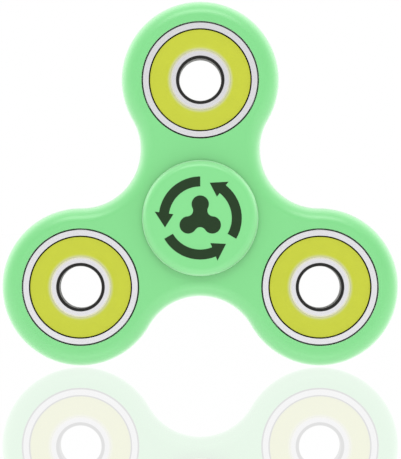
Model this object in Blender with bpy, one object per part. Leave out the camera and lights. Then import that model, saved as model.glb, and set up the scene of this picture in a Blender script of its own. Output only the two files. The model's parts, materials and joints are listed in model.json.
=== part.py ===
"""A three-lobed fidget spinner that turns on four ball bearings of the 8 x 22 x 7 mm size.

The model is in metres with +Z up. The origin is the middle of the centre bearing, and
the spin axis is Y. The front cap faces -Y. The spinner stands upright, with one lobe on
top and the rims of the other two at the bottom.

Every turned piece is drawn as a half section of (radius, depth) points, where depth runs
along Y and is negative on the front side, and is then spun around the Y axis.
"""

import math

import bmesh
import bpy
from mathutils import Matrix, Vector

MM = 0.001

# Ball bearing, the same size in all four seats
BORE_RADIUS = 4.0 * MM
RING_RADIUS = 11.0 * MM
BEARING_HALF_WIDTH = 3.5 * MM
PITCH_RADIUS = 7.5 * MM
BALL_RADIUS = 1.9845 * MM
BALLS = 7
RACEWAY_RADIUS = 2.2 * MM
INNER_LAND_RADIUS = 6.05 * MM
OUTER_LAND_RADIUS = 8.95 * MM
SEAL_SHELF = 2.45 * MM
INNER_STEP_RADIUS = 5.75 * MM
OUTER_RECESS_RADIUS = 9.85 * MM
RING_CORNER = 0.3 * MM
BORE_LEAD_IN = 0.6 * MM

# Rubber seal, one on each side of a bearing
SEAL_LIP_RADIUS = 5.95 * MM
SEAL_RIM_RADIUS = 9.65 * MM
SEAL_BACK = 2.65 * MM
SEAL_FACE = 3.25 * MM
SEAL_BEVEL = 0.2 * MM

# Snap-in cage, whose pockets open towards the front
CAGE_INNER_RADIUS = 6.6 * MM
CAGE_OUTER_RADIUS = 8.4 * MM
CAGE_TIP_DEPTH = -1.15 * MM
CAGE_BACK_DEPTH = 2.4 * MM
POCKET_RADIUS = 2.15 * MM

# Moulded body
LOBE_PITCH = 26.4 * MM
LOBE_RADIUS = 15.1 * MM
WAIST_RADIUS = 11.2 * MM
BODY_HALF_THICKNESS = 3.5 * MM
EDGE_ROUND = 2.8 * MM
SEAT_RADIUS = 11.2 * MM

# Finger caps
CAP_RADIUS = 11.05 * MM
CAP_FACE_DEPTH = 5.9 * MM
CAP_UNDERSIDE_DEPTH = 3.8 * MM
CAP_ROUND = 1.3 * MM
CAP_WALL = 1.5 * MM
CORE_INNER_RADIUS = 7.0 * MM
CORE_OUTER_RADIUS = 9.6 * MM
BOSS_RADIUS = 5.6 * MM
BOSS_DEPTH = 3.6 * MM
STEM_RADIUS = 3.85 * MM
STEM_END_DEPTH = 0.15 * MM
SOCKET_RADIUS = 2.4 * MM
PIN_RADIUS = 2.2 * MM
PIN_END_DEPTH = 3.9 * MM
PIN_CHAMFER = 0.4 * MM

# Smoothness of the round shapes
RING_STEPS = 28
CAGE_STEPS = 28
POCKET_STEPS = 12
RACEWAY_STEPS = 3
LEAD_IN_STEPS = 2
LOBE_STEPS = 20
WAIST_STEPS = 8
ROUND_STEPS = 3
BALL_SUBDIVISIONS = 2
SHARP_ANGLE = math.radians(35)
MERGE_DISTANCE = 1e-7

# Where the three outer bearings sit, as angles in the XZ plane
LOBE_ANGLES = {"top": 90, "left": 210, "right": 330}
SPIN_AXIS = Vector((0, 1, 0))

# Colour, roughness and metallic value of each material
MATERIALS = {
    "body_plastic": ((0.26, 0.80, 0.30), 0.32, 0.0),
    "cap_plastic": ((0.27, 0.81, 0.31), 0.36, 0.0),
    "seal_rubber": ((0.60, 0.66, 0.06), 0.50, 0.0),
    "ring_steel": ((0.78, 0.77, 0.80), 0.18, 1.0),
    "ball_steel": ((0.72, 0.73, 0.75), 0.08, 1.0),
    "cage_nylon": ((0.80, 0.76, 0.62), 0.45, 0.0),
}


def clear_scene():
    """Remove every object that the file opened with."""
    for obj in list(bpy.data.objects):
        bpy.data.objects.remove(obj)


def make_materials():
    """One Principled material for each finish, by name."""
    made = {}
    for name, (colour, roughness, metallic) in MATERIALS.items():
        material = bpy.data.materials.new(name)
        material.use_nodes = True
        shader = material.node_tree.nodes["Principled BSDF"]
        shader.inputs["Base Color"].default_value = (*colour, 1.0)
        shader.inputs["Roughness"].default_value = roughness
        shader.inputs["Metallic"].default_value = metallic
        made[name] = material
    return made


def on_circle(radius, degrees, depth=0.0):
    """A point at this angle in the XZ plane, at this depth along Y."""
    angle = math.radians(degrees)
    return Vector((radius * math.cos(angle), depth, radius * math.sin(angle)))


def arc(centre, radius, start, end, steps):
    """Points along an arc in a half section, with angles in degrees."""
    points = []
    for step in range(steps + 1):
        angle = math.radians(start + (end - start) * step / steps)
        along = centre[0] + radius * math.cos(angle)
        points.append((along, centre[1] + radius * math.sin(angle)))
    return points


def finish_mesh(name, bm):
    """Weld the mesh, point its faces outwards, shade it and store it."""
    bmesh.ops.remove_doubles(bm, verts=bm.verts, dist=MERGE_DISTANCE)
    bmesh.ops.recalc_face_normals(bm, faces=bm.faces)
    mesh = bpy.data.meshes.new(name)
    bm.to_mesh(mesh)
    bm.free()
    mesh.shade_smooth()
    mesh.set_sharp_from_angle(angle=SHARP_ANGLE)
    return mesh


def turned_mesh(name, section, steps=RING_STEPS):
    """Spin a half section around Y. A section that starts and ends on the axis stays open."""
    bm = bmesh.new()
    verts = [bm.verts.new((radius, depth, 0)) for radius, depth in section]
    edges = [bm.edges.new(pair) for pair in zip(verts, verts[1:])]
    if section[0][0] > 0:
        edges.append(bm.edges.new((verts[-1], verts[0])))
    bmesh.ops.spin(
        bm,
        geom=verts + edges,
        cent=(0, 0, 0),
        axis=SPIN_AXIS,
        angle=math.tau,
        steps=steps,
        use_merge=True,
    )
    return finish_mesh(name, bm)


def mirrored(front_half):
    """A section that is the same on both sides of the mid plane."""
    return front_half + [(radius, -depth) for radius, depth in reversed(front_half)]


def raceway(land_radius, outwards):
    """The ball groove in a section, from the front land to the rear land."""
    rise = abs(land_radius - PITCH_RADIUS)
    half_angle = math.degrees(math.acos(rise / RACEWAY_RADIUS))
    middle = 0 if outwards else 180
    sweep = half_angle if outwards else -half_angle
    centre = (PITCH_RADIUS, 0)
    return arc(centre, RACEWAY_RADIUS, middle - sweep, middle + sweep, RACEWAY_STEPS)


def outer_ring_section():
    """Rounded outer corners, a recess for each seal, two lands and the raceway."""
    groove = raceway(OUTER_LAND_RADIUS, outwards=True)
    front = [
        (OUTER_LAND_RADIUS, -SEAL_SHELF),
        (OUTER_RECESS_RADIUS, -SEAL_SHELF),
        (OUTER_RECESS_RADIUS, -BEARING_HALF_WIDTH),
        (RING_RADIUS - RING_CORNER, -BEARING_HALF_WIDTH),
        (RING_RADIUS, -BEARING_HALF_WIDTH + RING_CORNER),
    ]
    return mirrored(front) + groove[::-1]


def inner_ring_section():
    """A bore with rounded mouths, a step for each seal lip, two lands and the raceway."""
    groove = raceway(INNER_LAND_RADIUS, outwards=False)
    lead_in_centre = (BORE_RADIUS + BORE_LEAD_IN, -BEARING_HALF_WIDTH + BORE_LEAD_IN)
    lead_in = arc(lead_in_centre, BORE_LEAD_IN, 270, 180, LEAD_IN_STEPS)
    front = [
        (INNER_LAND_RADIUS, -SEAL_SHELF),
        (INNER_STEP_RADIUS, -SEAL_SHELF),
        (INNER_STEP_RADIUS, -BEARING_HALF_WIDTH),
        *lead_in,
    ]
    return mirrored(front) + groove[::-1]


def seal_section(side):
    """A flat washer with a bevelled lip and a bevelled rim. Side is -1 at the front."""
    section = [
        (SEAL_LIP_RADIUS, SEAL_BACK),
        (SEAL_LIP_RADIUS, SEAL_FACE - SEAL_BEVEL),
        (SEAL_LIP_RADIUS + SEAL_BEVEL, SEAL_FACE),
        (SEAL_RIM_RADIUS - SEAL_BEVEL, SEAL_FACE),
        (SEAL_RIM_RADIUS, SEAL_FACE - SEAL_BEVEL),
        (SEAL_RIM_RADIUS, SEAL_BACK),
    ]
    return [(radius, side * depth) for radius, depth in section]


def cage_mesh():
    """A ring with a round pocket for each ball, cut from it by radial cylinders."""
    section = [
        (CAGE_INNER_RADIUS, CAGE_TIP_DEPTH),
        (CAGE_OUTER_RADIUS, CAGE_TIP_DEPTH),
        (CAGE_OUTER_RADIUS, CAGE_BACK_DEPTH),
        (CAGE_INNER_RADIUS, CAGE_BACK_DEPTH),
    ]
    blank = bpy.data.objects.new("cage_blank", turned_mesh("cage_blank", section, CAGE_STEPS))
    bpy.context.scene.collection.objects.link(blank)
    cutters = [blank]
    for ball in range(BALLS):
        cutter = pocket_cutter(ball)
        cutters.append(cutter)
        cut = blank.modifiers.new(f"pocket_{ball + 1}", "BOOLEAN")
        cut.operation = "DIFFERENCE"
        cut.object = cutter
    bpy.context.view_layer.update()
    graph = bpy.context.evaluated_depsgraph_get()
    mesh = bpy.data.meshes.new_from_object(blank.evaluated_get(graph))
    mesh.name = "cage"
    for helper in cutters:
        bpy.data.objects.remove(helper)
    mesh.shade_smooth()
    mesh.set_sharp_from_angle(angle=SHARP_ANGLE)
    return mesh


def ball_angle(ball):
    """Where ball number 0 to 6 sits around the bearing, in degrees."""
    return 90 + 360 * ball / BALLS


def pocket_cutter(ball):
    """A cylinder that lies along the radius through one ball."""
    bm = bmesh.new()
    bmesh.ops.create_cone(
        bm,
        cap_ends=True,
        segments=POCKET_STEPS,
        radius1=POCKET_RADIUS,
        radius2=POCKET_RADIUS,
        depth=2 * (CAGE_OUTER_RADIUS - CAGE_INNER_RADIUS),
    )
    towards = on_circle(1, ball_angle(ball)).to_track_quat("Z", "Y").to_matrix().to_4x4()
    place = Matrix.Translation(on_circle(PITCH_RADIUS, ball_angle(ball)))
    bmesh.ops.transform(bm, matrix=place @ towards, verts=bm.verts)
    cutter = bpy.data.objects.new(f"pocket_cutter_{ball + 1}", finish_mesh("pocket", bm))
    bpy.context.scene.collection.objects.link(cutter)
    cutter.hide_render = True
    cutter.display_type = "WIRE"
    return cutter


def ball_mesh():
    """A steel ball around its own centre."""
    bm = bmesh.new()
    bmesh.ops.create_icosphere(bm, subdivisions=BALL_SUBDIVISIONS, radius=BALL_RADIUS)
    return finish_mesh("ball", bm)


def cap_disc_section(socket_radius):
    """A front cap from its face to its stem's end, with a rounded rim and a cored underside."""
    rim_centre = (CAP_RADIUS - CAP_ROUND, CAP_ROUND - CAP_FACE_DEPTH)
    rim = arc(rim_centre, CAP_ROUND, 270, 360, ROUND_STEPS)
    core_depth = CAP_WALL - CAP_FACE_DEPTH
    return [
        (0, -CAP_FACE_DEPTH),
        *rim,
        (CAP_RADIUS, -CAP_UNDERSIDE_DEPTH),
        (CORE_OUTER_RADIUS, -CAP_UNDERSIDE_DEPTH),
        (CORE_OUTER_RADIUS, core_depth),
        (CORE_INNER_RADIUS, core_depth),
        (CORE_INNER_RADIUS, -CAP_UNDERSIDE_DEPTH),
        (BOSS_RADIUS, -CAP_UNDERSIDE_DEPTH),
        (BOSS_RADIUS, -BOSS_DEPTH),
        (STEM_RADIUS, -BOSS_DEPTH),
        (STEM_RADIUS, -STEM_END_DEPTH),
        (socket_radius, -STEM_END_DEPTH),
    ]


def front_cap_section():
    """The front cap, whose hollow stem is the socket."""
    floor = CAP_WALL - CAP_FACE_DEPTH
    return cap_disc_section(SOCKET_RADIUS) + [(SOCKET_RADIUS, floor), (0, floor)]


def rear_cap_section():
    """The rear cap, whose stem ends in a pin that fills the front cap's socket."""
    pin = [
        (PIN_RADIUS, PIN_END_DEPTH - PIN_CHAMFER),
        (PIN_RADIUS - PIN_CHAMFER, PIN_END_DEPTH),
        (0, PIN_END_DEPTH),
    ]
    return [(radius, -depth) for radius, depth in cap_disc_section(PIN_RADIUS) + pin]


def waist_pitch():
    """Distance from the spin axis to a waist's centre, where its arc is tangent to two lobes."""
    reach = LOBE_RADIUS + WAIST_RADIUS
    return (LOBE_PITCH + math.sqrt(LOBE_PITCH**2 - 4 * (LOBE_PITCH**2 - reach**2))) / 2


def body_outline(inset, depth):
    """The trefoil at one depth, shrunk by the inset: a lobe arc and a waist arc, three times."""
    towards_waist = on_circle(waist_pitch(), 30) - on_circle(LOBE_PITCH, 90)
    tangent = math.degrees(math.atan2(towards_waist.z, towards_waist.x))
    points = []
    for lobe_angle in LOBE_ANGLES.values():
        turn = lobe_angle - 90
        lobe = on_circle(LOBE_PITCH, lobe_angle, depth)
        for step in range(LOBE_STEPS + 1):
            angle = tangent + (180 - 2 * tangent) * step / LOBE_STEPS
            points.append(lobe + on_circle(LOBE_RADIUS - inset, angle + turn))
        waist = on_circle(waist_pitch(), lobe_angle + 60, depth)
        for step in range(1, WAIST_STEPS):
            angle = waist_angle(tangent, step)
            points.append(waist + on_circle(WAIST_RADIUS + inset, angle + turn))
    return points


def waist_angle(tangent, step):
    """Angle of one point of the waist that follows the top lobe, seen from the waist's centre."""
    half_sweep = 30 - tangent
    return 330 + half_sweep - 2 * half_sweep * step / WAIST_STEPS


def body_mesh():
    """Outlines stacked through the thickness, with quarter-round edges, closed by flat faces."""
    levels = []
    for step in range(ROUND_STEPS + 1):
        angle = math.pi / 2 * step / ROUND_STEPS
        inset = EDGE_ROUND * (1 - math.sin(angle))
        levels.append((inset, EDGE_ROUND * (1 - math.cos(angle)) - BODY_HALF_THICKNESS))
    levels += [(inset, -depth) for inset, depth in reversed(levels)]
    bm = bmesh.new()
    loops = [[bm.verts.new(point) for point in body_outline(*level)] for level in levels]
    for near, far in zip(loops, loops[1:]):
        for index in range(len(near)):
            after = (index + 1) % len(near)
            bm.faces.new((near[index], near[after], far[after], far[index]))
    bm.faces.new(loops[0])
    bm.faces.new(loops[-1])
    return finish_mesh("spinner_body", bm)


def seat_cutter(name, centre):
    """The hole that one bearing is pressed into."""
    bm = bmesh.new()
    bmesh.ops.create_cone(
        bm,
        cap_ends=True,
        segments=RING_STEPS,
        radius1=SEAT_RADIUS,
        radius2=SEAT_RADIUS,
        depth=4 * BODY_HALF_THICKNESS,
    )
    bmesh.ops.rotate(bm, verts=bm.verts, matrix=Matrix.Rotation(math.pi / 2, 3, "X"))
    cutter = bpy.data.objects.new(name, finish_mesh(name, bm))
    cutter.location = centre
    cutter.hide_render = True
    cutter.display_type = "WIRE"
    bpy.context.scene.collection.objects.link(cutter)
    return cutter


def joint_empty(name, place, parent=None):
    """An empty on a joint's axis. The place is measured from its parent."""
    empty = bpy.data.objects.new(name, None)
    empty.location = place
    empty.parent = parent
    bpy.context.scene.collection.objects.link(empty)
    return empty


def add_piece(name, mesh, material, parent, place=(0, 0, 0)):
    """One named sub-part, which may share its mesh with others."""
    if not mesh.materials:
        mesh.materials.append(material)
    piece = bpy.data.objects.new(name, mesh)
    piece.parent = parent
    piece.location = place
    bpy.context.scene.collection.objects.link(piece)
    return piece


def add_body(materials, spinner):
    """The moulded trefoil with its four bearing seats."""
    body = add_piece("spinner_body", body_mesh(), materials["body_plastic"], spinner)
    centres = {"centre": Vector()}
    for lobe, angle in LOBE_ANGLES.items():
        centres[lobe] = on_circle(LOBE_PITCH, angle)
    for seat, centre in centres.items():
        cut = body.modifiers.new(f"{seat}_seat", "BOOLEAN")
        cut.operation = "DIFFERENCE"
        cut.object = seat_cutter(f"{seat}_seat_cutter", centre)


def add_bearing(prefix, meshes, materials, outer_parent, inner_parent, cage_parent):
    """The twelve pieces of one bearing. Each parent empty sits at the bearing's centre."""
    steel, rubber = materials["ring_steel"], materials["seal_rubber"]
    add_piece(f"{prefix}_outer_ring", meshes["outer_ring"], steel, outer_parent)
    add_piece(f"{prefix}_front_seal", meshes["front_seal"], rubber, outer_parent)
    add_piece(f"{prefix}_rear_seal", meshes["rear_seal"], rubber, outer_parent)
    add_piece(f"{prefix}_inner_ring", meshes["inner_ring"], steel, inner_parent)
    add_piece(f"{prefix}_cage", meshes["cage"], materials["cage_nylon"], cage_parent)
    for ball in range(BALLS):
        place = on_circle(PITCH_RADIUS, ball_angle(ball))
        name = f"{prefix}_ball_{ball + 1}"
        add_piece(name, meshes["ball"], materials["ball_steel"], cage_parent, place)


def main():
    clear_scene()
    materials = make_materials()
    bearing_meshes = {
        "outer_ring": turned_mesh("outer_ring", outer_ring_section()),
        "inner_ring": turned_mesh("inner_ring", inner_ring_section()),
        "front_seal": turned_mesh("front_seal", seal_section(-1)),
        "rear_seal": turned_mesh("rear_seal", seal_section(1)),
        "cage": cage_mesh(),
        "ball": ball_mesh(),
    }

    grip = joint_empty("grip", (0, 0, 0))
    front_cap = turned_mesh("front_cap", front_cap_section())
    rear_cap = turned_mesh("rear_cap", rear_cap_section())
    add_piece("front_cap", front_cap, materials["cap_plastic"], grip)
    add_piece("rear_cap", rear_cap, materials["cap_plastic"], grip)

    spinner = joint_empty("spinner", (0, 0, 0), grip)
    centre_cage = joint_empty("centre_cage_turn", (0, 0, 0), grip)
    add_body(materials, spinner)
    add_bearing("centre", bearing_meshes, materials, spinner, grip, centre_cage)

    for lobe, angle in LOBE_ANGLES.items():
        seat = joint_empty(f"{lobe}_seat", on_circle(LOBE_PITCH, angle), spinner)
        hub = joint_empty(f"{lobe}_hub", (0, 0, 0), seat)
        cage = joint_empty(f"{lobe}_cage_turn", (0, 0, 0), seat)
        add_bearing(lobe, bearing_meshes, materials, seat, hub, cage)


main()
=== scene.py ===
"""Detailed look of a lobed fidget spinner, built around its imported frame.

Metres, +Z up. The spin axis is Y, the front cap faces -Y, and the origin is the middle
of the centre bearing. Every turned piece is drawn as a half section in the XY plane, X
being its radius and Y its depth, and is then spun around the Y axis.
"""

import json
import math

import bmesh
import bpy
from bpy.props import FloatProperty, FloatVectorProperty, IntProperty, PointerProperty
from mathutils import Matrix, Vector


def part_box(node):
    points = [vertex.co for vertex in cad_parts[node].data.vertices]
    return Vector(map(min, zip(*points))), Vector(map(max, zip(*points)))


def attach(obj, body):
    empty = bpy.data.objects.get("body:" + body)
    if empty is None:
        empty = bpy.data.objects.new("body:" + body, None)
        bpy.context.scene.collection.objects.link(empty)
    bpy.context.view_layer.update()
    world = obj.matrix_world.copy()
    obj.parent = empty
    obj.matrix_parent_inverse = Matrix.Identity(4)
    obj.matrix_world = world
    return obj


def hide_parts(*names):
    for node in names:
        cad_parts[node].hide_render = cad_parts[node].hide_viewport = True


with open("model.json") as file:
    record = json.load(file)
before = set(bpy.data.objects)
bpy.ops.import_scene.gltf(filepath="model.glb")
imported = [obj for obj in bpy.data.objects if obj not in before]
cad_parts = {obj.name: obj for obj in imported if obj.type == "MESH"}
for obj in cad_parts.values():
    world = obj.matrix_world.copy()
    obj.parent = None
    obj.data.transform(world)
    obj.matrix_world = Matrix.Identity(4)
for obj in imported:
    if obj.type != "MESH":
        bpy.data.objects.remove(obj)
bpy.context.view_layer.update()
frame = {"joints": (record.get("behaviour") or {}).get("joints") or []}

bl_info = {
    "name": "Fidget Spinner Maker",
    "version": (1, 0, 0),
    "blender": (4, 5, 0),
    "location": "3D View > Sidebar > Spinner",
    "description": "Moulded body, finger caps, print, ball bearings and studio of a fidget spinner",
    "category": "Add Mesh",
}

MM = 0.001
TINY = 1e-6
LOBES = {"top": 90, "left": 210, "right": 330}
BALLS = 7
# Brightness of the surroundings from straight in front of the spinner (0) to straight behind (1)
SURROUND_LEVELS = (
    (0.0, 0.26),
    (0.2, 0.36),
    (0.4, 0.48),
    (0.5, 0.62),
    (0.6, 0.75),
    (0.72, 0.7),
    (0.85, 0.4),
    (1.0, 0.33),
)


# Sizes taken from the frame


def extent(node, axis, end):
    """Lowest (end 0) or highest (end 1) coordinate of a node along an axis."""
    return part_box(node)[end][axis]


def half_width(node):
    """Half of a node's size along X: the outside radius of a round piece."""
    return (extent(node, 0, 1) - extent(node, 0, 0)) / 2


def joint_place(name):
    """Where a joint's axis crosses the mid plane."""
    found = next(joint for joint in frame["joints"] if joint["name"] == name)
    return Vector(found["pos_m"])


SEATS = {"centre": joint_place("spinner_spin")}
for lobe_name in LOBES:
    SEATS[lobe_name] = joint_place(f"{lobe_name}_hub_spin")
LOBE_PITCH = SEATS["top"].z
FLOOR_HEIGHT = extent("spinner_body", 2, 0)


def polar(radius, degrees, depth=0.0):
    """A point at this angle in the XZ plane, counted from +X towards +Z."""
    angle = math.radians(degrees)
    return Vector((radius * math.cos(angle), depth, radius * math.sin(angle)))


# What a user can change


def length(name, description, default):
    """A length property in metres."""
    return FloatProperty(
        name=name, description=description, default=default, unit="LENGTH", precision=5
    )


def level(name, description, default, **limits):
    """A plain number: a share, a strength or an angle."""
    return FloatProperty(name=name, description=description, default=default, **limits)


def step_count(name, description, default):
    """A number of steps."""
    return IntProperty(name=name, description=description, default=default, min=4)


def colour(name, description, default):
    """A colour property, in linear light."""
    return FloatVectorProperty(
        name=name, description=description, default=default, size=3, subtype="COLOR", min=0, max=1
    )


class SpinnerBodySizes(bpy.types.PropertyGroup):
    """Sizes of the moulded body"""

    lobe_radius: length(
        "Lobe radius", "Outside radius of each lobe", extent("spinner_body", 2, 1) - LOBE_PITCH
    )
    waist_radius: length("Waist radius", "Radius of the hollow between two lobes", 11.2 * MM)
    half_thickness: length(
        "Half thickness", "Half of the body's thickness", extent("spinner_body", 1, 1)
    )
    edge_round: length("Edge rounding", "Radius of the outer edges", 2.8 * MM)
    seat_gap: length("Seat gap", "Width of the groove round a lobe's bearing", 0.22 * MM)
    seat_groove: length("Seat groove", "Depth of the groove round a lobe's bearing", 2.5 * MM)
    centre_gap: length("Centre gap", "Width of the gap round the centre bearing", 0.03 * MM)
    seat_play: length("Seat play", "Room between a bearing and the land that holds it", 0.02 * MM)
    seat_round: length("Seat rounding", "Radius of the mouth of a bearing seat", 0.05 * MM)
    parting_ridge: length("Parting ridge", "Height of the mould's parting line", 0.04 * MM)
    parting_width: length("Parting width", "Width of the mould's parting line", 0.2 * MM)


class SpinnerCapSizes(bpy.types.PropertyGroup):
    """Sizes of the two finger caps"""

    radius: length("Radius", "Outside radius of a cap", half_width("front_cap"))
    face: length(
        "Face depth", "Distance of a cap's face from the mid plane", extent("rear_cap", 1, 1)
    )
    underside: length(
        "Underside depth", "Distance of a cap's rim from the mid plane", 3.8 * MM
    )
    edge_round: length("Edge rounding", "Radius of the outer edge", 1.5 * MM)
    rim_round: length("Rim rounding", "Radius of the rim's inner edge and the core's", 0.2 * MM)
    fine_round: length("Fine rounding", "Radius of the small edges behind the face", 0.1 * MM)
    wall: length("Wall", "Thickness of the face", 1.5 * MM)
    core_outer: length("Core outside", "Outside radius of the hollow behind the face", 9.6 * MM)
    core_inner: length("Core inside", "Inside radius of the hollow behind the face", 7.0 * MM)
    boss_radius: length("Boss radius", "Radius of the boss that clamps the inner ring", 5.6 * MM)
    boss: length("Boss depth", "Distance of the boss from the mid plane", 3.6 * MM)
    stem_radius: length("Stem radius", "Radius of the stem in the centre bearing", 3.85 * MM)
    stem_end: length("Stem end", "Distance of a stem's end from the mid plane", 0.15 * MM)
    stem_round: length("Stem rounding", "Radius of the edge of a stem's end", 0.25 * MM)
    socket_radius: length("Socket radius", "Radius of the hollow in the front stem", 2.4 * MM)
    pin_radius: length("Pin radius", "Radius of the rear stem's pin", 2.2 * MM)
    pin_end: length("Pin end", "How far the pin reaches past the mid plane", 3.9 * MM)
    pin_round: length("Pin rounding", "Radius of the edge of the pin's end", 0.4 * MM)


class SpinnerPrintSizes(bpy.types.PropertyGroup):
    """Sizes of the print on the front cap"""

    inner: length("Arrow inside", "Inside radius of the arrows", 6.0 * MM)
    outer: length("Arrow outside", "Outside radius of the arrows", 7.9 * MM)
    barb: length("Barb", "How far an arrow's head stands out on either side", 0.85 * MM)
    sweep: level("Arrow sweep", "Degrees that an arrow's band takes up", 82, min=10, max=100)
    head: level("Arrow head", "Degrees that an arrow's head takes up", 23, min=5, max=35)
    trefoil: length("Trefoil", "Distance of the small trefoil's lobes from its middle", 2.65 * MM)
    trefoil_lobe: level("Trefoil lobe", "Radius of its lobes, as a share of that distance", 0.62)
    trefoil_waist: level("Trefoil waist", "Radius of its waists, as a share as well", 0.42)
    thickness: length("Thickness", "Thickness of the ink", 0.03 * MM)


class SpinnerBearingSizes(bpy.types.PropertyGroup):
    """Sizes of a ball bearing"""

    bore: length("Bore radius", "Radius of the hole in the inner ring", 4.0 * MM)
    lead_in: length("Bore rounding", "Radius of the bore's two mouths", 0.66 * MM)
    rim_round: length("Rim rounding", "Radius of the outer ring's outer edges", 0.06 * MM)
    recess_round: length("Recess rounding", "Radius of the seal recess's edges", 0.03 * MM)
    step_round: length("Step rounding", "Radius of the edges that a seal's lip meets", 0.015 * MM)
    outside: length(
        "Outside radius", "Outside radius of the outer ring", half_width("top_outer_ring")
    )
    half_width: length("Half width", "Half of a ring's width", extent("top_outer_ring", 1, 1))
    pitch: length("Pitch radius", "Radius of the circle of ball centres", 7.5 * MM)
    ball: length("Ball radius", "Radius of a ball", 1.9845 * MM)
    raceway: length("Raceway radius", "Radius of the groove that the balls run in", 2.12 * MM)
    inner_land: length("Inner land", "Outside radius of the inner ring beside its groove", 6.05 * MM)
    inner_step: length("Inner step", "Radius of the step that a seal's lip meets", 5.75 * MM)
    outer_land: length("Outer land", "Inside radius of the outer ring beside its groove", 8.95 * MM)
    recess: length("Seal recess", "Radius of the recess that holds a seal", 9.85 * MM)
    shelf: length("Shelf depth", "Depth of the shelf behind a seal", 2.45 * MM)
    seal_face: length("Seal face", "Depth of a seal's outer face", extent("top_rear_seal", 1, 1))
    seal_back: length("Seal back", "Depth of a seal's inner face", extent("top_rear_seal", 1, 0))
    seal_rim: length(
        "Seal rim", "Outside radius of a seal", half_width("top_front_seal") - 0.05 * MM
    )
    lip_play: length("Lip play", "Room between a seal's lip and the inner ring", 0.02 * MM)
    lip_drop: length("Lip drop", "How far a seal's lip lies below a ring's face", 0.04 * MM)
    lip_fall: length("Lip fall", "How far the lip's outer side lies below that face", 0.05 * MM)
    lip_width: length("Lip width", "Width of a seal's flat lip", 0.35 * MM)
    lip_slope: length("Lip slope", "Width of a seal's lip and the slope behind it", 1.1 * MM)
    crest_round: length("Crest rounding", "Radius where a seal's slope begins", 0.3 * MM)
    foot_round: length("Foot rounding", "Radius where a seal's slope ends", 0.6 * MM)
    seal_round: length("Seal rounding", "Radius of a seal's outer edges", 0.05 * MM)
    cage_inner: length("Cage inside", "Inside radius of a cage", 6.6 * MM)
    cage_outer: length("Cage outside", "Outside radius of a cage", 8.4 * MM)
    cage_round: length("Cage rounding", "Rounding of a cage's edges", 0.08 * MM)
    pocket: length("Pocket play", "Room between a ball and its pocket in the cage", 0.12 * MM)


class SpinnerFinishes(bpy.types.PropertyGroup):
    """Colours of the finishes, and of the painted highlight, reflection and shade"""

    body: colour("Body plastic", "Mint green moulded plastic", (0.114, 0.482, 0.143))
    cap: colour("Cap plastic", "Mint green of the finger caps", (0.120, 0.497, 0.150))
    body_sheen: colour("Body sheen", "Tint of the body's soft sheen", (1.0, 0.85, 1.0))
    cap_sheen: colour("Cap sheen", "Tint of the caps' soft sheen", (0.9, 0.9, 0.9))
    ink: colour("Print", "Dark ink on the front cap", (0.005, 0.024, 0.0035))
    seal: colour("Seal rubber", "Yellow-green rubber", (0.39, 0.427, 0.010))
    # Pale colour painted on a seal towards its lip: a painted highlight.
    lip: colour("Seal lip", "Pale thin lip of a seal", (0.46, 0.455, 0.43))
    steel: colour("Ground steel", "Faces of the rings", (0.65, 0.645, 0.665))
    worn_steel: colour("Worn steel", "Grinding marks on the faces of the rings", (0.56, 0.55, 0.58))
    # Yellowish tint painted on the inner rings next to the seals: a painted reflection of the yellow
    # seals.
    painted_seal_reflection: colour(
        "Edge steel", "Inner rings where they meet the seals", (0.655, 0.645, 0.42)
    )
    # Grey painted shade on the walls of the bores.
    painted_bore_shade: colour("Bore steel", "Walls of the bores", (0.20, 0.20, 0.19))
    # Near-black painted shade in the mouths of the bores, the seal recesses and the outer rings'
    # outside walls.
    painted_black_shade: colour("Dark steel", "Mouths of the bores, and the recesses", (0.010, 0.010, 0.009))
    ball: colour("Ball steel", "Polished steel of the balls", (0.74, 0.75, 0.77))
    nylon: colour("Cage nylon", "Natural nylon", (0.80, 0.76, 0.62))


class SpinnerStudio(bpy.types.PropertyGroup):
    """Camera and light"""

    distance: length("Camera distance", "From the lens to the spinner's mid plane", 0.65)
    view_height: length("View height", "Height that the camera sees at the spinner", 0.0881)
    aim_x: length("Aim right", "How far right of the spin axis the camera points", 0.00005)
    aim_z: length("Aim up", "How far above the spin axis the camera points", -0.00219)
    surround: level("Surround", "Brightness of the studio all round", 3.0, min=0)
    softbox: level("Softbox", "Power of the softbox, in watts", 1.3, min=0)
    mirror: level("Floor mirror", "Strength of the floor's reflection", 0.245, min=0, max=1)
    floor_glow: level("Floor glow", "Light that the floor sends up to the spinner", 1.7, min=0)
    floor_gap: length("Floor gap", "How far the floor lies below the lobes", 0.12 * MM)


class SpinnerMeshing(bpy.types.PropertyGroup):
    """Fineness of the round shapes"""

    turned_steps: step_count("Turned steps", "Steps around a turned piece", 128)
    ball_steps: step_count("Ball steps", "Steps around a ball, and around its pocket", 48)
    raceway_steps: step_count("Raceway steps", "Steps across a ball's groove", 16)
    lobe_steps: step_count("Lobe steps", "Steps around one lobe", 96)
    waist_steps: step_count("Waist steps", "Steps around one waist", 40)
    round_steps: step_count("Edge steps", "Steps across the body's outer edges", 12)


# Modelling by operators


def deselect_all():
    """Leave edit mode and select nothing."""
    if bpy.context.mode != "OBJECT":
        bpy.ops.object.mode_set(mode="OBJECT")
    bpy.ops.object.select_all(action="DESELECT")


def activate(piece):
    """Make this the only selected object and the active one."""
    deselect_all()
    piece.select_set(True)
    bpy.context.view_layer.objects.active = piece


def start_outline(name, point):
    """Begin a new mesh as one selected point, left in edit mode."""
    deselect_all()
    bpy.ops.mesh.primitive_plane_add(size=MM)
    piece = bpy.context.object
    piece.name = piece.data.name = name
    bpy.ops.object.mode_set(mode="EDIT")
    bpy.ops.mesh.select_mode(type="VERT")
    bpy.ops.mesh.select_all(action="SELECT")
    bpy.ops.mesh.merge(type="CENTER")
    bpy.ops.transform.translate(value=point)
    return piece


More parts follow.
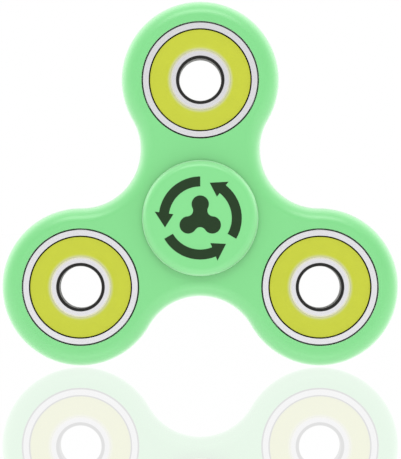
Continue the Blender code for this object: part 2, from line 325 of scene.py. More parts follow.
def line_to(step):
    """Extrude the selected point by a step."""
    bpy.ops.mesh.extrude_vertices_move(TRANSFORM_OT_translate={"value": step})


def sweep(centre, degrees, steps, axis=(0, 1, 0)):
    """Spin the selected point round a centre. Positive is from +X towards +Z round the Y axis."""
    bpy.ops.mesh.spin(steps=steps, angle=math.radians(degrees), center=centre, axis=axis)


def bevel(size, segments, affect="EDGES"):
    """Round the selected edges or corners."""
    bpy.ops.mesh.bevel(offset=size, segments=segments, affect=affect, clamp_overlap=False)


def weld():
    """Select the whole mesh and merge its double points."""
    bpy.ops.mesh.select_all(action="SELECT")
    bpy.ops.mesh.remove_doubles(threshold=TINY)


def fill_outline():
    """Close the outline that was drawn and fill it with one face."""
    weld()
    bpy.ops.mesh.edge_face_add()


def pick(piece, kind, wanted):
    """Select the vertices, or the edges, whose points all pass the test."""
    bpy.ops.mesh.select_mode(type=kind)
    bpy.ops.mesh.select_all(action="DESELECT")
    mesh = bmesh.from_edit_mesh(piece.data)
    if kind == "VERT":
        for vert in mesh.verts:
            vert.select_set(wanted(vert.co))
    else:
        for edge in mesh.edges:
            edge.select_set(all(wanted(vert.co) for vert in edge.verts))
    mesh.select_flush_mode()
    bmesh.update_edit_mesh(piece.data)


def finish_surface(piece, degrees=38):
    """Point the faces outwards, shade by angle, and keep flat faces and straight walls true."""
    bpy.ops.mesh.select_all(action="SELECT")
    bpy.ops.mesh.normals_make_consistent(inside=False)
    activate(piece)
    bpy.ops.object.shade_smooth_by_angle(angle=math.radians(degrees))
    bpy.ops.object.mode_set(mode="EDIT")
    flat_faces, straight_walls = (0.9999, 2), (-1, 0.0001)
    for lowest, highest in (flat_faces, straight_walls):
        bpy.ops.mesh.select_mode(type="FACE")
        bpy.ops.mesh.select_all(action="DESELECT")
        mesh = bmesh.from_edit_mesh(piece.data)
        for face in mesh.faces:
            face.select_set(lowest < abs(face.normal.y) < highest)
        bmesh.update_edit_mesh(piece.data)
        bpy.ops.mesh.set_normals_from_faces(keep_sharp=True)
    activate(piece)


def draw_section(name, corners, arc_end=None):
    """Draw a half section as a face. Corners are (radius, depth, rounding).

    arc_end is (centre radius, degrees, steps) of an arc from the last corner to the first.
    """
    points = [Vector((radius, depth, 0)) for radius, depth, rounding in corners]
    piece = start_outline(name, points[0])
    for here, there in zip(points, points[1:]):
        line_to(there - here)
    if arc_end:
        centre_radius, degrees, steps = arc_end
        sweep((centre_radius, 0, 0), degrees, steps, axis=(0, 0, 1))
    else:
        line_to(points[0] - points[-1])
    fill_outline()
    for point, (radius, depth, rounding) in zip(points, corners):
        if rounding:
            pick(piece, "VERT", lambda co: (co - point).length < TINY)
            segments = 3 if rounding < 0.5 * MM else 8
            bevel(rounding, segments, affect="VERTICES")
    return piece


def turn_section(piece, steps):
    """Spin a drawn section once round the Y axis and close the surface."""
    bpy.ops.mesh.select_all(action="SELECT")
    bpy.ops.mesh.delete(type="ONLY_FACE")
    pick(piece, "EDGE", lambda co: co.x < TINY)
    bpy.ops.mesh.delete(type="EDGE")
    bpy.ops.mesh.select_mode(type="VERT")
    bpy.ops.mesh.select_all(action="SELECT")
    bpy.ops.mesh.spin(steps=steps, angle=math.tau, center=(0, 0, 0), axis=(0, 1, 0))
    weld()
    finish_surface(piece)
    keep_lathe_place(piece)


def keep_lathe_place(piece):
    """Store each point's place on the lathe, which the turned finishes read."""
    place = piece.data.attributes.new("lathe_place", "FLOAT_VECTOR", "POINT")
    place.data.foreach_set("vector", [value for vert in piece.data.vertices for value in vert.co])


def on_side(corners, side):
    """The corners of a rear section (side 1), or the same section in front (side -1)."""
    return [(radius, side * depth, rounding) for radius, depth, rounding in corners]


def mirrored(front):
    """Corners of a section that is the same on both sides of the mid plane."""
    return front + on_side(reversed(front), -1)


def copy_to(piece, name, move):
    """A copy with its own mesh, moved by a step that goes into the mesh."""
    activate(piece)
    bpy.ops.object.duplicate(linked=False)
    made = bpy.context.object
    made.name = made.data.name = name
    bpy.ops.transform.translate(value=move)
    bpy.ops.object.transform_apply(location=True, rotation=True, scale=True)
    return made


def cut(piece, cutter):
    """Cut one solid out of another and remove the cutter."""
    activate(piece)
    before = len(piece.data.vertices)
    difference = piece.modifiers.new("cut", "BOOLEAN")
    difference.operation = "DIFFERENCE"
    difference.object = cutter
    bpy.ops.object.modifier_apply(modifier=difference.name)
    if len(piece.data.vertices) == before:
        raise RuntimeError(f"{cutter.name} did not cut {piece.name}")
    remove(cutter)


def dress(piece, material, slot, body, *nodes):
    """Give a finished piece its material and its body, and hide the CAD nodes that it stands for."""
    if not piece.data.polygons:
        raise RuntimeError(f"{piece.name} has no surface")
    piece.data.materials.clear()
    piece.data.materials.append(material)
    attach(piece, body)
    if nodes:
        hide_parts(*nodes)


def remove(piece):
    """Delete a pattern or a cutter that has served."""
    bpy.data.objects.remove(piece)


# Materials


def add_node(tree, kind, inputs=None, **settings):
    """A node with its settings, and with values or links for its named or numbered inputs."""
    made = tree.nodes.new(kind)
    for name, value in settings.items():
        setattr(made, name, value)
    for name, value in (inputs or {}).items():
        socket = made.inputs[name]
        if isinstance(value, bpy.types.NodeSocket):
            tree.links.new(value, socket)
        elif socket.type == "RGBA":
            socket.default_value = (*value[:3], 1.0)
        else:
            socket.default_value = value
    return made


def maths(tree, operation, *values):
    """The output of a Math node."""
    return add_node(tree, "ShaderNodeMath", dict(enumerate(values)), operation=operation).outputs[0]


def ramp(tree, value, low, high, start=0.0, end=1.0):
    """A smooth mask that goes from start at low to end at high."""
    inputs = {"Value": value, "From Min": low, "From Max": high, "To Min": start, "To Max": end}
    return add_node(tree, "ShaderNodeMapRange", inputs, interpolation_type="SMOOTHSTEP").outputs[0]


def blend_colours(tree, factor, first, second):
    """The output of a Mix node for colours."""
    inputs = {0: factor, 6: first, 7: second}
    return add_node(tree, "ShaderNodeMix", inputs, data_type="RGBA").outputs[2]


def new_group(name, inputs, outputs):
    """An empty shader node group with named sockets, and its input and output nodes."""
    group = bpy.data.node_groups.new(name, "ShaderNodeTree")
    for socket, (kind, default) in inputs.items():
        made = group.interface.new_socket(socket, in_out="INPUT", socket_type=f"NodeSocket{kind}")
        if default is not None:
            made.default_value = default
    for socket, kind in outputs.items():
        group.interface.new_socket(socket, in_out="OUTPUT", socket_type=f"NodeSocket{kind}")
    return group, group.nodes.new("NodeGroupInput"), group.nodes.new("NodeGroupOutput")


def fine_grain_group():
    """Fine spark-eroded grain of a mould, as a height."""
    inputs = {"Place": ("Vector", None), "Grain": ("Float", 0.3 * MM)}
    group, source, result = new_group("fine_grain", inputs, {"Height": "Float"})
    scale = maths(group, "DIVIDE", 1.0, source.outputs["Grain"])
    inputs = {"Vector": source.outputs["Place"], "Scale": scale, "Detail": 3.0}
    noise = add_node(group, "ShaderNodeTexNoise", inputs)
    group.links.new(noise.outputs[0], result.inputs["Height"])
    return group


def tone_group():
    """Slow variation of a colour, as in a moulding or a batch of rubber."""
    inputs = {
        "Place": ("Vector", None),
        "Colour": ("Color", None),
        "Amount": ("Float", 0.05),
        "Patch": ("Float", 10 * MM),
    }
    outputs = {"Colour": "Color", "Patches": "Float"}
    group, source, result = new_group("tone_variation", inputs, outputs)
    scale = maths(group, "DIVIDE", 1.0, source.outputs["Patch"])
    inputs = {"Vector": source.outputs["Place"], "Scale": scale, "Detail": 2.0}
    noise = add_node(group, "ShaderNodeTexNoise", inputs)
    centred = maths(group, "SUBTRACT", noise.outputs[0], 0.5)
    factor = maths(group, "MULTIPLY_ADD", centred, source.outputs["Amount"], 1.0)
    inputs = {0: source.outputs["Colour"], "Scale": factor}
    scaled = add_node(group, "ShaderNodeVectorMath", inputs, operation="SCALE")
    group.links.new(scaled.outputs[0], result.inputs["Colour"])
    group.links.new(noise.outputs[0], result.inputs["Patches"])
    return group


def turning_group():
    """Radius on the lathe, and the fine rings that turning or grinding leaves at that radius."""
    inputs = {"Place": ("Vector", None), "Pitch": ("Float", 0.1 * MM)}
    outputs = {"Radius": "Float", "Rings": "Float"}
    group, source, result = new_group("turning_marks", inputs, outputs)
    place = source.outputs["Place"]
    flat = add_node(group, "ShaderNodeVectorMath", {0: place, 1: (1, 0, 1)}, operation="MULTIPLY")
    from_axis = add_node(group, "ShaderNodeVectorMath", {0: flat.outputs[0]}, operation="LENGTH")
    radius = from_axis.outputs["Value"]
    depth = add_node(group, "ShaderNodeSeparateXYZ", {0: place}).outputs["Y"]
    along = maths(group, "ADD", radius, depth)
    count = maths(group, "DIVIDE", along, source.outputs["Pitch"])
    inputs = {"W": count, "Scale": 1.0, "Detail": 2.0}
    rings = add_node(group, "ShaderNodeTexNoise", inputs, noise_dimensions="1D")
    group.links.new(radius, result.inputs["Radius"])
    group.links.new(rings.outputs[0], result.inputs["Rings"])
    return group


GROUPS = {
    "fine_grain": fine_grain_group,
    "tone_variation": tone_group,
    "turning_marks": turning_group,
}


def use_group(tree, name, **inputs):
    """Place a node group in a material, and make the group when it is first needed."""
    group = bpy.data.node_groups.get(name) or GROUPS[name]()
    return add_node(tree, "ShaderNodeGroup", inputs, node_tree=group)


def new_material(name, roughness, metallic=0.0, **constants):
    """A material with its shader, whose even values are set on the shader's own sockets."""
    material = bpy.data.materials.new(name)
    material.use_nodes = True
    shader = material.node_tree.nodes["Principled BSDF"]
    shader.inputs["Roughness"].default_value = roughness
    shader.inputs["Metallic"].default_value = metallic
    for socket, value in constants.items():
        shader.inputs[socket.replace("_", " ")].default_value = value
    return material, material.node_tree, shader


def object_place(tree):
    """Object coordinates."""
    return tree.nodes.new("ShaderNodeTexCoord").outputs["Object"]


def lathe_place(tree):
    """The place on the lathe that each turned piece stores."""
    return add_node(tree, "ShaderNodeAttribute", attribute_name="lathe_place").outputs["Vector"]


def bump(tree, shader, height, strength, distance):
    """Feed a height to the shader's normal."""
    inputs = {"Height": height, "Strength": strength, "Distance": distance}
    made = add_node(tree, "ShaderNodeBump", inputs)
    tree.links.new(made.outputs[0], shader.inputs["Normal"])


def moulded_plastic(name, base, sheen, roughness, grain):
    """Satin moulded plastic with a soft sheen, a fine grain and a slight variation of tone."""
    material, tree, shader = new_material(
        name,
        roughness,
        IOR=1.5,
        Coat_Weight=1.0,
        Coat_Roughness=0.28,
        Sheen_Weight=0.6,
        Sheen_Roughness=0.5,
        Sheen_Tint=(*sheen, 1.0),
    )
    place = object_place(tree)
    tones = use_group(tree, "tone_variation", Place=place, Colour=base, Amount=0.05)
    tree.links.new(tones.outputs["Colour"], shader.inputs["Base Color"])
    matt = maths(tree, "MULTIPLY_ADD", tones.outputs["Patches"], 0.08, roughness - 0.04)
    tree.links.new(matt, shader.inputs["Roughness"])
    texture = use_group(tree, "fine_grain", Place=place, Grain=grain)
    bump(tree, shader, texture.outputs["Height"], 0.25, 0.02 * MM)
    return material


def print_ink(finishes):
    """Pad-printed ink, slightly uneven."""
    material, tree, shader = new_material("pad_printed_ink", 0.65, Specular_IOR_Level=0.25)
    place = object_place(tree)
    tones = use_group(
        tree, "tone_variation", Place=place, Colour=finishes.ink, Amount=0.3, Patch=1.2 * MM
    )
    tree.links.new(tones.outputs["Colour"], shader.inputs["Base Color"])
    texture = use_group(tree, "fine_grain", Place=place, Grain=0.12 * MM)
    bump(tree, shader, texture.outputs["Height"], 0.3, 0.01 * MM)
    return material


def seal_rubber(finishes, sizes):
    """Smooth coloured rubber, with a painted highlight that pales it towards its thin lip."""
    material, tree, shader = new_material("soft_seal_rubber", 0.48)
    place = lathe_place(tree)
    turning = use_group(tree, "turning_marks", Place=place, Pitch=0.25 * MM)
    tones = use_group(
        tree, "tone_variation", Place=place, Colour=finishes.seal, Amount=0.08, Patch=3 * MM
    )
    # Painted highlight: the rubber is painted pale towards the lip.
    start, end = sizes.inner_step - 0.45 * MM, sizes.inner_step + 0.7 * MM
    lip_highlight = ramp(tree, turning.outputs["Radius"], start, end, 1.0, 0.0)
    base = blend_colours(tree, lip_highlight, tones.outputs["Colour"], finishes.lip)
    tree.links.new(base, shader.inputs["Base Color"])
    bump(tree, shader, turning.outputs["Rings"], 0.15, 0.01 * MM)
    return material


def ring_steel(finishes, sizes):
    """Ground steel faces with fine rings, a painted reflection of the seals on the inner rings, and
    painted shade in the bores, recesses and outside walls.
    """
    material, tree, shader = new_material("ground_ring_steel", 0.3, 1.0, Specular_IOR_Level=0.2)
    turning = use_group(tree, "turning_marks", Place=lathe_place(tree), Pitch=0.06 * MM)
    radius, rings = turning.outputs["Radius"], turning.outputs["Rings"]

    def within(edge, low, high):
        """A mask of what lies inside a radius. It fades from low to high, in mm past the edge."""
        return ramp(tree, radius, edge + low * MM, edge + high * MM, 1.0, 0.0)

    def beyond(edge, low, high):
        """The same for what lies outside a radius."""
        return ramp(tree, radius, edge + low * MM, edge + high * MM)

    # Painted shade: masks of the bores and their mouths, the seal recesses, and the outer rings'
    # outside walls and outer edges, which are painted dark.
    bore = within(sizes.bore + sizes.lead_in, -0.05, 0.03)
    recess_shade = maths(
        tree, "MULTIPLY", within(sizes.recess, -0.01, 0.02), beyond(sizes.inner_land, 0.3, 0.4)
    )
    walls = maths(tree, "MAXIMUM", beyond(sizes.outside, -0.12, -0.05), recess_shade)
    painted_shade = maths(tree, "MAXIMUM", bore, walls)
    wear = maths(tree, "MULTIPLY", rings, 0.25)
    ground = blend_colours(tree, wear, finishes.steel, finishes.worn_steel)
    # Painted reflection of the yellow seals on the outer band of the inner rings' faces, next to the
    # seals.
    edge = maths(
        tree, "MULTIPLY", beyond(sizes.inner_step, -0.45, 0), within(sizes.recess, -1, 0)
    )
    face = blend_colours(tree, edge, ground, finishes.painted_seal_reflection)
    # The painted shade is grey on the bore walls and near-black in the bore mouths, the recesses and
    # on the outside walls.
    deep = within(sizes.bore, 0.01, 0.14)
    painted_shade_colour = blend_colours(tree, deep, finishes.painted_black_shade, finishes.painted_bore_shade)
    base = blend_colours(tree, painted_shade, face, painted_shade_colour)
    tree.links.new(base, shader.inputs["Base Color"])
    tree.links.new(maths(tree, "SUBTRACT", 1.0, painted_shade), shader.inputs["Metallic"])
    fine = maths(tree, "MULTIPLY_ADD", rings, 0.2, 0.2)
    matt = maths(tree, "MAXIMUM", fine, maths(tree, "MULTIPLY", painted_shade, 0.7))
    tree.links.new(matt, shader.inputs["Roughness"])
    bump(tree, shader, rings, 0.25, 0.01 * MM)
    return material


def ball_steel(finishes):
    """Polished steel."""
    material, tree, shader = new_material("polished_ball_steel", 0.08, 1.0)
    place = object_place(tree)
    tones = use_group(
        tree, "tone_variation", Place=place, Colour=finishes.ball, Amount=0.06, Patch=0.5 * MM
    )
    tree.links.new(tones.outputs["Colour"], shader.inputs["Base Color"])
    return material


# Pieces


def draw_trefoil(name, pitch, lobe_radius, waist_radius, depth, lobe_steps, waist_steps):
    """Three lobes joined by tangent waists, drawn by one point swept from arc to arc, and filled."""
    reach = lobe_radius + waist_radius
    waist_pitch = (pitch + math.sqrt(pitch**2 - 4 * (pitch**2 - reach**2))) / 2
    towards_waist = polar(waist_pitch, 30) - polar(pitch, 90)
    tangent = math.degrees(math.atan2(towards_waist.z, towards_waist.x))
    piece = start_outline(name, polar(pitch, 90, depth) + polar(lobe_radius, tangent))
    for angle in LOBES.values():
        sweep(polar(pitch, angle, depth), 180 - 2 * tangent, lobe_steps)
        sweep(polar(waist_pitch, angle + 60, depth), 2 * tangent - 60, waist_steps)
    fill_outline()
    return piece


def extrude_back(thickness):
    """Extrude the selected face towards the rear into a closed solid."""
    bpy.ops.mesh.extrude_region_move(TRANSFORM_OT_translate={"value": (0, thickness, 0)})


class SPINNER_OT_body(bpy.types.Operator):
    """Build the moulded trefoil with its rounded edges, parting line and four bearing seats"""

    bl_idname = "spinner.body"
    bl_label = "Moulded Body"

    def execute(self, context):
        sizes, meshing = context.scene.spinner_body, context.scene.spinner_meshing
        half = sizes.half_thickness
        body = draw_trefoil(
            "moulded_body",
            LOBE_PITCH,
            sizes.lobe_radius,
            sizes.waist_radius,
            -half,
            lobe_steps=meshing.lobe_steps,
            waist_steps=meshing.waist_steps,
        )
        extrude_back(2 * half)
        for face in (-half, half):
            pick(body, "EDGE", lambda co: abs(co.y - face) < TINY)
            bevel(sizes.edge_round, meshing.round_steps)
        self.raise_parting_line(body, sizes)
        cut(body, self.seat_cutter(context, sizes.centre_gap))
        lobe_cutter = self.seat_cutter(context, sizes.seat_gap)
        for lobe in LOBES:
            cut(body, copy_to(lobe_cutter, f"{lobe}_seat_cutter", SEATS[lobe]))
        remove(lobe_cutter)
        self.round_seat_mouths(body, context)
        finish_surface(body)
        finishes = context.scene.spinner_finishes
        base, sheen = finishes.body, finishes.body_sheen
        plastic = moulded_plastic("satin_mint_body", base, sheen, roughness=0.42, grain=0.35 * MM)
        dress(body, plastic, "body_plastic", "spinner", "spinner_body")
        return {"FINISHED"}

    def raise_parting_line(self, body, sizes):
        """A hair-fine ridge round the middle of the rim, where the mould's halves met."""
        for depth in (-sizes.parting_width / 2, 0, sizes.parting_width / 2):
            bpy.ops.mesh.select_mode(type="VERT")
            bpy.ops.mesh.select_all(action="SELECT")
            bpy.ops.mesh.bisect(plane_co=(0, depth, 0), plane_no=(0, 1, 0))
        pick(body, "VERT", lambda co: abs(co.y) < TINY)
        bpy.ops.transform.shrink_fatten(value=sizes.parting_ridge)

    def seat_cutter(self, context, gap):
        """A stepped drum: a tight land in the middle and a fine groove towards both faces."""
        sizes, outside = context.scene.spinner_body, context.scene.spinner_bearing.outside
        land, far = sizes.half_thickness - sizes.seat_groove, 3 * sizes.half_thickness
        front = [
            (0, -far, 0),
            (outside + gap, -far, 0),
            (outside + gap, -land, 0),
            (outside + sizes.seat_play, -land, 0),
        ]
        cutter = draw_section("seat_cutter", mirrored(front))
        turn_section(cutter, context.scene.spinner_meshing.turned_steps)
        return cutter

    def round_seat_mouths(self, body, context):
        """Break the sharp edge of each lobe's seat on both faces."""
        activate(body)
        sizes = context.scene.spinner_body
        reach = context.scene.spinner_bearing.outside + sizes.seat_gap
        bpy.ops.object.mode_set(mode="EDIT")

        def on_mouth(co):
            """Whether a point lies on the edge of a lobe's seat."""
            on_face = abs(abs(co.y) - sizes.half_thickness) < TINY
            away = [math.hypot(co.x - place.x, co.z - place.z) for place in SEATS.values()]
            return on_face and any(abs(distance - reach) < 10 * TINY for distance in away)

        pick(body, "EDGE", on_mouth)
        bevel(sizes.seat_round, 3)


class SPINNER_OT_caps(bpy.types.Operator):
    """Build the two finger caps, whose stems meet inside the centre bearing"""

    bl_idname = "spinner.caps"
    bl_label = "Finger Caps"

    def execute(self, context):
        finishes = context.scene.spinner_finishes
        base, sheen = finishes.cap, finishes.cap_sheen
        plastic = moulded_plastic("satin_mint_caps", base, sheen, roughness=0.4, grain=0.3 * MM)
        front = self.turn_cap(context, "front_finger_cap", socket=True)
        dress(front, plastic, "cap_plastic", "grip", "front_cap")
        rear = self.turn_cap(context, "rear_finger_cap", socket=False)
        dress(rear, plastic, "cap_plastic", "grip", "rear_cap")
        return {"FINISHED"}

    def turn_cap(self, context, name, socket):
        """One cap: face, rounded rim, cored underside, boss and stem, with a socket or a pin."""
        sizes = context.scene.spinner_cap
        floor = sizes.face - sizes.wall
        corners = [
            (0, sizes.face, 0),
            (sizes.radius, sizes.face, sizes.edge_round),
            (sizes.radius, sizes.underside, sizes.rim_round),
            (sizes.core_outer, sizes.underside, sizes.fine_round),
            (sizes.core_outer, floor, sizes.rim_round),
            (sizes.core_inner, floor, sizes.rim_round),
            (sizes.core_inner, sizes.underside, 0),
            (sizes.boss_radius, sizes.underside, 0),
            (sizes.boss_radius, sizes.boss, sizes.fine_round),
            (sizes.stem_radius, sizes.boss, 0),
            (sizes.stem_radius, sizes.stem_end, sizes.stem_round),
        ]
        if socket:
            corners += [(sizes.socket_radius, sizes.stem_end, sizes.fine_round)]
            corners += [(sizes.socket_radius, floor, 0), (0, floor, 0)]
            side = -1
        else:
            corners += [(sizes.pin_radius, sizes.stem_end, 0)]
            corners += [(sizes.pin_radius, -sizes.pin_end, sizes.pin_round)]
            corners += [(0, -sizes.pin_end, 0)]
            side = 1
        cap = draw_section(name, on_side(corners, side))
        turn_section(cap, context.scene.spinner_meshing.turned_steps)
        return cap


class SPINNER_OT_print(bpy.types.Operator):
    """Print three chasing arrows round a small trefoil on the front cap"""

    bl_idname = "spinner.print"
    bl_label = "Cap Print"

    def execute(self, context):
        sizes, face = context.scene.spinner_print, -context.scene.spinner_cap.face
        ink = print_ink(context.scene.spinner_finishes)
        for number in range(3):
            arrow = self.draw_arrow(f"print_arrow_{number + 1}", 90 + 120 * number, face, sizes)
            self.thicken(arrow, ink, sizes.thickness)
        pitch = sizes.trefoil
        trefoil = draw_trefoil(
            "print_trefoil",
            pitch,
            sizes.trefoil_lobe * pitch,
            sizes.trefoil_waist * pitch,
            face,
            lobe_steps=24,
            waist_steps=10,
        )
        self.thicken(trefoil, ink, sizes.thickness)
        return {"FINISHED"}

    def draw_arrow(self, name, start, face, sizes, steps=32):
        """A curved band that ends in a pointed head."""
        inner, outer, end = sizes.inner, sizes.outer, start + sizes.sweep
        piece = start_outline(name, polar(inner, start, face))
        sweep((0, 0, 0), sizes.sweep, steps)
        points = [
            polar(inner, end, face),
            polar(inner - sizes.barb, end, face),
            polar((inner + outer) / 2, end + sizes.head, face),
            polar(outer + sizes.barb, end, face),
            polar(outer, end, face),
        ]
        for here, there in zip(points, points[1:]):
            line_to(there - here)
        sweep((0, 0, 0), -sizes.sweep, steps)
        line_to(polar(inner, start, face) - polar(outer, start, face))
        fill_outline()
        return piece

    def thicken(self, piece, ink, thickness):
        """Give a drawn shape the thickness of a layer of ink that stands on the cap."""
        extrude_back(-thickness)
        finish_surface(piece)
        dress(piece, ink, "print_ink", "grip")


class SPINNER_OT_rings(bpy.types.Operator):
    """Turn the inner and outer rings of the four bearings"""

    bl_idname = "spinner.rings"
    bl_label = "Bearing Rings"

    def execute(self, context):
        sizes, meshing = context.scene.spinner_bearing, context.scene.spinner_meshing
        steel = ring_steel(context.scene.spinner_finishes, sizes)
        raceway = meshing.raceway_steps
        outer = draw_section("outer_ring_pattern", *self.outer_section(sizes, raceway))
        turn_section(outer, meshing.turned_steps)
        inner = draw_section("inner_ring_pattern", *self.inner_section(sizes, raceway))
        turn_section(inner, meshing.turned_steps)
        for seat, place in SEATS.items():
            hub = "grip" if seat == "centre" else f"{seat}_hub"
            ring = copy_to(outer, f"{seat}_bearing_outer_ring", place)
            dress(ring, steel, "ring_steel", "spinner", f"{seat}_outer_ring")
            ring = copy_to(inner, f"{seat}_bearing_inner_ring", place)
            dress(ring, steel, "ring_steel", hub, f"{seat}_inner_ring")
        remove(outer)
        remove(inner)
        return {"FINISHED"}

    def raceway_end(self, sizes, land):
        """Depth at which the raceway meets a land, and the angle that it sweeps."""
        rise = abs(land - sizes.pitch)
        depth = math.sqrt(sizes.raceway**2 - rise**2)
        return depth, 2 * math.degrees(math.atan2(depth, rise))

    def outer_section(self, sizes, raceway_steps):
        """Outer ring, from the front end of its raceway round its outside to the rear end."""
        depth, swept = self.raceway_end(sizes, sizes.outer_land)
        front = [
            (sizes.outer_land, -depth, 0),
            (sizes.outer_land, -sizes.shelf, 0),
            (sizes.recess, -sizes.shelf, 0),
            (sizes.recess, -sizes.half_width, sizes.recess_round),
            (sizes.outside, -sizes.half_width, sizes.rim_round),
        ]
        return mirrored(front), (sizes.pitch, swept, raceway_steps)

    def inner_section(self, sizes, raceway_steps):
        """Inner ring, from the front end of its raceway round its bore to the rear end."""
        depth, swept = self.raceway_end(sizes, sizes.inner_land)
        front = [
            (sizes.inner_land, -depth, 0),
            (sizes.inner_land, -sizes.shelf, 0),
            (sizes.inner_step, -sizes.shelf, 0),
            (sizes.inner_step, -sizes.half_width, sizes.step_round),
            (sizes.bore, -sizes.half_width, sizes.lead_in),
        ]
        return mirrored(front), (sizes.pitch, -swept, raceway_steps)


class SPINNER_OT_seals(bpy.types.Operator):
    """Turn the front and rear rubber seals of the four bearings"""

    bl_idname = "spinner.seals"
    bl_label = "Rubber Seals"

    def execute(self, context):
        sizes, meshing = context.scene.spinner_bearing, context.scene.spinner_meshing
        rubber = seal_rubber(context.scene.spinner_finishes, sizes)
        for name, side in (("front", -1), ("rear", 1)):
            pattern = draw_section(f"{name}_seal_pattern", self.section(sizes, side))
            turn_section(pattern, meshing.turned_steps)
            for seat, place in SEATS.items():
                seal = copy_to(pattern, f"{seat}_bearing_{name}_seal", place)
                dress(seal, rubber, "seal_rubber", "spinner", f"{seat}_{name}_seal")
            remove(pattern)
        return {"FINISHED"}

    def section(self, sizes, side):
        """A flat washer whose thin lip rises to the level of the inner ring's face."""
        face, back, lip = sizes.seal_face, sizes.seal_back, sizes.inner_step + sizes.lip_play
        corners = [
            (lip, back, 0),
            (lip, sizes.half_width - sizes.lip_drop, sizes.step_round),
            (lip + sizes.lip_width, sizes.half_width - sizes.lip_fall, sizes.crest_round),
            (lip + sizes.lip_slope, face, sizes.foot_round),
            (sizes.seal_rim, face, sizes.seal_round),
            (sizes.seal_rim, back, sizes.seal_round),
        ]
        return on_side(corners, side)


class SPINNER_OT_cages(bpy.types.Operator):
    """Build the snap-in ball cages of the four bearings"""

    bl_idname = "spinner.cages"
    bl_label = "Ball Cages"

    def execute(self, context):
        sizes, meshing = context.scene.spinner_bearing, context.scene.spinner_meshing
        tip, back = extent("top_cage", 1, 0), extent("top_cage", 1, 1)
        inner, outer = sizes.cage_inner, sizes.cage_outer
        corners = [(inner, tip, 0), (outer, tip, 0), (outer, back, 0), (inner, back, 0)]
        cage = draw_section("cage_pattern", corners)
        turn_section(cage, meshing.turned_steps)
        for number in range(BALLS):
            self.cut_pocket(cage, 90 + 360 * number / BALLS, sizes, meshing.ball_steps)
        self.soften(cage, sizes.cage_round)
        tone = context.scene.spinner_finishes.nylon
        nylon = moulded_plastic("natural_cage_nylon", tone, tone, roughness=0.45, grain=0.2 * MM)
        for seat, place in SEATS.items():
            made = copy_to(cage, f"{seat}_bearing_cage", place)
            dress(made, nylon, "cage_nylon", f"{seat}_cage", f"{seat}_cage")
        remove(cage)
        return {"FINISHED"}

    def cut_pocket(self, cage, degrees, sizes, steps):
        """Cut a round pocket for one ball with a cylinder that passes through the cage's wall."""
        place = polar(sizes.pitch, degrees)
        deselect_all()
        bpy.ops.mesh.primitive_cylinder_add(
            vertices=steps,
            radius=sizes.ball + sizes.pocket,
            depth=4 * MM,
            location=place,
            rotation=(0, math.radians(90 - degrees), 0),
        )
        cut(cage, bpy.context.object)

    def soften(self, cage, rounding):
        """Round the edges slightly, as a moulding's are."""
        activate(cage)
        rounded = cage.modifiers.new("edges", "BEVEL")
        rounded.width = rounding
        rounded.segments = 2
        rounded.limit_method = "ANGLE"
        rounded.angle_limit = math.radians(50)
        bpy.ops.object.modifier_apply(modifier=rounded.name)
        bpy.ops.object.shade_smooth_by_angle(angle=math.radians(40))


class SPINNER_OT_balls(bpy.types.Operator):
    """Turn the seven steel balls of each bearing"""

    bl_idname = "spinner.balls"
    bl_label = "Steel Balls"

    def execute(self, context):
        sizes = context.scene.spinner_bearing
        around = context.scene.spinner_meshing.ball_steps
        steel = ball_steel(context.scene.spinner_finishes)
        pattern = start_outline("ball_pattern", (0, -sizes.ball, 0))
        sweep((0, 0, 0), -180, around // 2, axis=(0, 0, 1))
        turn_section(pattern, around)
        for seat, place in SEATS.items():
            for number in range(BALLS):
                where = place + polar(sizes.pitch, 90 + 360 * number / BALLS)
                node = f"{seat}_ball_{number + 1}"
                ball = copy_to(pattern, f"{seat}_bearing_ball_{number + 1}", where)
                dress(ball, steel, "ball_steel", node, node)
        remove(pattern)
        return {"FINISHED"}


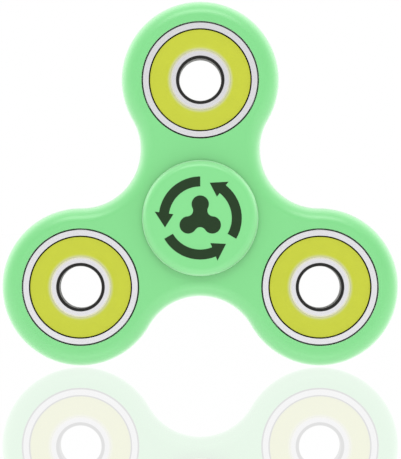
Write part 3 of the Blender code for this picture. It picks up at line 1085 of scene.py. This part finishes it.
class SPINNER_OT_stage(bpy.types.Operator):
    """Set up the floor, the soft light and the camera"""

    bl_idname = "spinner.stage"
    bl_label = "Studio"

    def execute(self, context):
        studio = context.scene.spinner_studio
        self.lay_floor(studio)
        self.light_surround(context.scene, studio)
        self.add_softbox(
            "top_softbox", place=(0, -0.50, 0.49), width=0.45, height=0.30, power=studio.softbox
        )
        self.place_camera(context.scene, studio)
        context.scene.view_settings.view_transform = "Standard"
        return {"FINISHED"}

    def lay_floor(self, studio):
        """A white glossy floor that mirrors the spinner faintly."""
        deselect_all()
        bpy.ops.mesh.primitive_plane_add(size=40, location=(0, 0, FLOOR_HEIGHT - studio.floor_gap))
        floor = bpy.context.object
        floor.name = floor.data.name = "studio_floor"
        material = bpy.data.materials.new("white_acrylic")
        material.use_nodes = True
        tree = material.node_tree
        tree.nodes.remove(tree.nodes["Principled BSDF"])
        seen = tree.nodes.new("ShaderNodeLightPath").outputs["Is Camera Ray"]
        inputs = {"Value": seen, "To Min": studio.floor_glow, "To Max": 1.0}
        strength = add_node(tree, "ShaderNodeMapRange", inputs).outputs[0]
        white = add_node(tree, "ShaderNodeEmission", {"Strength": strength})
        mirror = add_node(tree, "ShaderNodeBsdfGlossy", {"Color": (1, 1, 1), "Roughness": 0.0})
        mixed = add_node(tree, "ShaderNodeMixShader", {0: studio.mirror})
        tree.links.new(white.outputs[0], mixed.inputs[1])
        tree.links.new(mirror.outputs[0], mixed.inputs[2])
        tree.links.new(mixed.outputs[0], tree.nodes["Material Output"].inputs["Surface"])
        floor.data.materials.append(material)

    def light_surround(self, scene, studio):
        """White to look at, but brighter at the sides than in front of and behind the spinner."""
        world = bpy.data.worlds.new("studio_surround")
        scene.world = world
        world.use_nodes = True
        tree = world.node_tree
        tree.nodes.clear()
        direction = tree.nodes.new("ShaderNodeTexCoord").outputs["Generated"]
        along = add_node(tree, "ShaderNodeSeparateXYZ", {0: direction}).outputs["Y"]
        place = maths(tree, "MULTIPLY_ADD", along, 0.5, 0.5)
        levels = add_node(tree, "ShaderNodeValToRGB", {"Fac": place})
        stops = levels.color_ramp.elements
        stops.remove(stops[1])
        for position, brightness in SURROUND_LEVELS:
            stop = stops.new(position) if position else stops[0]
            stop.color = (brightness, brightness, brightness, 1)
        strength = maths(tree, "MULTIPLY", levels.outputs["Color"], studio.surround)
        seen = add_node(tree, "ShaderNodeLightPath").outputs["Is Camera Ray"]
        white = {"Color": (1, 1, 1)}
        around = add_node(tree, "ShaderNodeBackground", {**white, "Strength": strength})
        behind = add_node(tree, "ShaderNodeBackground", {**white, "Strength": 1.0})
        mixed = add_node(tree, "ShaderNodeMixShader", {0: seen})
        tree.links.new(around.outputs[0], mixed.inputs[1])
        tree.links.new(behind.outputs[0], mixed.inputs[2])
        output = add_node(tree, "ShaderNodeOutputWorld")
        tree.links.new(mixed.outputs[0], output.inputs["Surface"])

    def add_softbox(self, name, place, width, height, power):
        """An area light aimed at the spinner."""
        deselect_all()
        bpy.ops.object.light_add(type="AREA", location=place)
        lamp = bpy.context.object
        lamp.name = lamp.data.name = name
        lamp.data.shape = "RECTANGLE"
        lamp.data.size = width
        lamp.data.size_y = height
        lamp.data.energy = power
        lamp.rotation_euler = (-Vector(place)).to_track_quat("-Z", "Y").to_euler()

    def place_camera(self, scene, studio):
        """A long lens straight in front of the spinner."""
        deselect_all()
        bpy.ops.object.camera_add(
            location=(studio.aim_x, -studio.distance, studio.aim_z), rotation=(math.pi / 2, 0, 0)
        )
        camera = bpy.context.object
        camera.name = camera.data.name = "studio_camera"
        camera.data.lens = camera.data.sensor_width * studio.distance / studio.view_height
        camera.data.clip_start = 0.01
        camera.data.clip_end = 100
        scene.camera = camera


class SPINNER_PT_panel(bpy.types.Panel):
    """Lists the pieces and their sizes"""

    bl_idname = "SPINNER_PT_panel"
    bl_label = "Fidget Spinner"
    bl_space_type = "VIEW_3D"
    bl_region_type = "UI"
    bl_category = "Spinner"

    def draw(self, context):
        for operator in OPERATORS:
            self.layout.operator(operator.bl_idname)
        for settings in SETTINGS:
            box = self.layout.box()
            group = getattr(context.scene, settings)
            box.label(text=group.bl_rna.description)
            for name in group.__annotations__:
                box.prop(group, name)


OPERATORS = (
    SPINNER_OT_body,
    SPINNER_OT_caps,
    SPINNER_OT_print,
    SPINNER_OT_rings,
    SPINNER_OT_seals,
    SPINNER_OT_cages,
    SPINNER_OT_balls,
    SPINNER_OT_stage,
)
SETTINGS = {
    "spinner_body": SpinnerBodySizes,
    "spinner_cap": SpinnerCapSizes,
    "spinner_print": SpinnerPrintSizes,
    "spinner_bearing": SpinnerBearingSizes,
    "spinner_finishes": SpinnerFinishes,
    "spinner_studio": SpinnerStudio,
    "spinner_meshing": SpinnerMeshing,
}
CLASSES = (*SETTINGS.values(), *OPERATORS, SPINNER_PT_panel)


def register():
    for each in CLASSES:
        bpy.utils.register_class(each)
    for name, group in SETTINGS.items():
        setattr(bpy.types.Scene, name, PointerProperty(type=group))


def unregister():
    for name in SETTINGS:
        delattr(bpy.types.Scene, name)
    for each in reversed(CLASSES):
        bpy.utils.unregister_class(each)


def main():
    register()
    bpy.ops.spinner.body()
    bpy.ops.spinner.caps()
    bpy.ops.spinner.print()
    bpy.ops.spinner.rings()
    bpy.ops.spinner.seals()
    bpy.ops.spinner.cages()
    bpy.ops.spinner.balls()
    bpy.ops.spinner.stage()


if __name__ == "__main__":
    main()
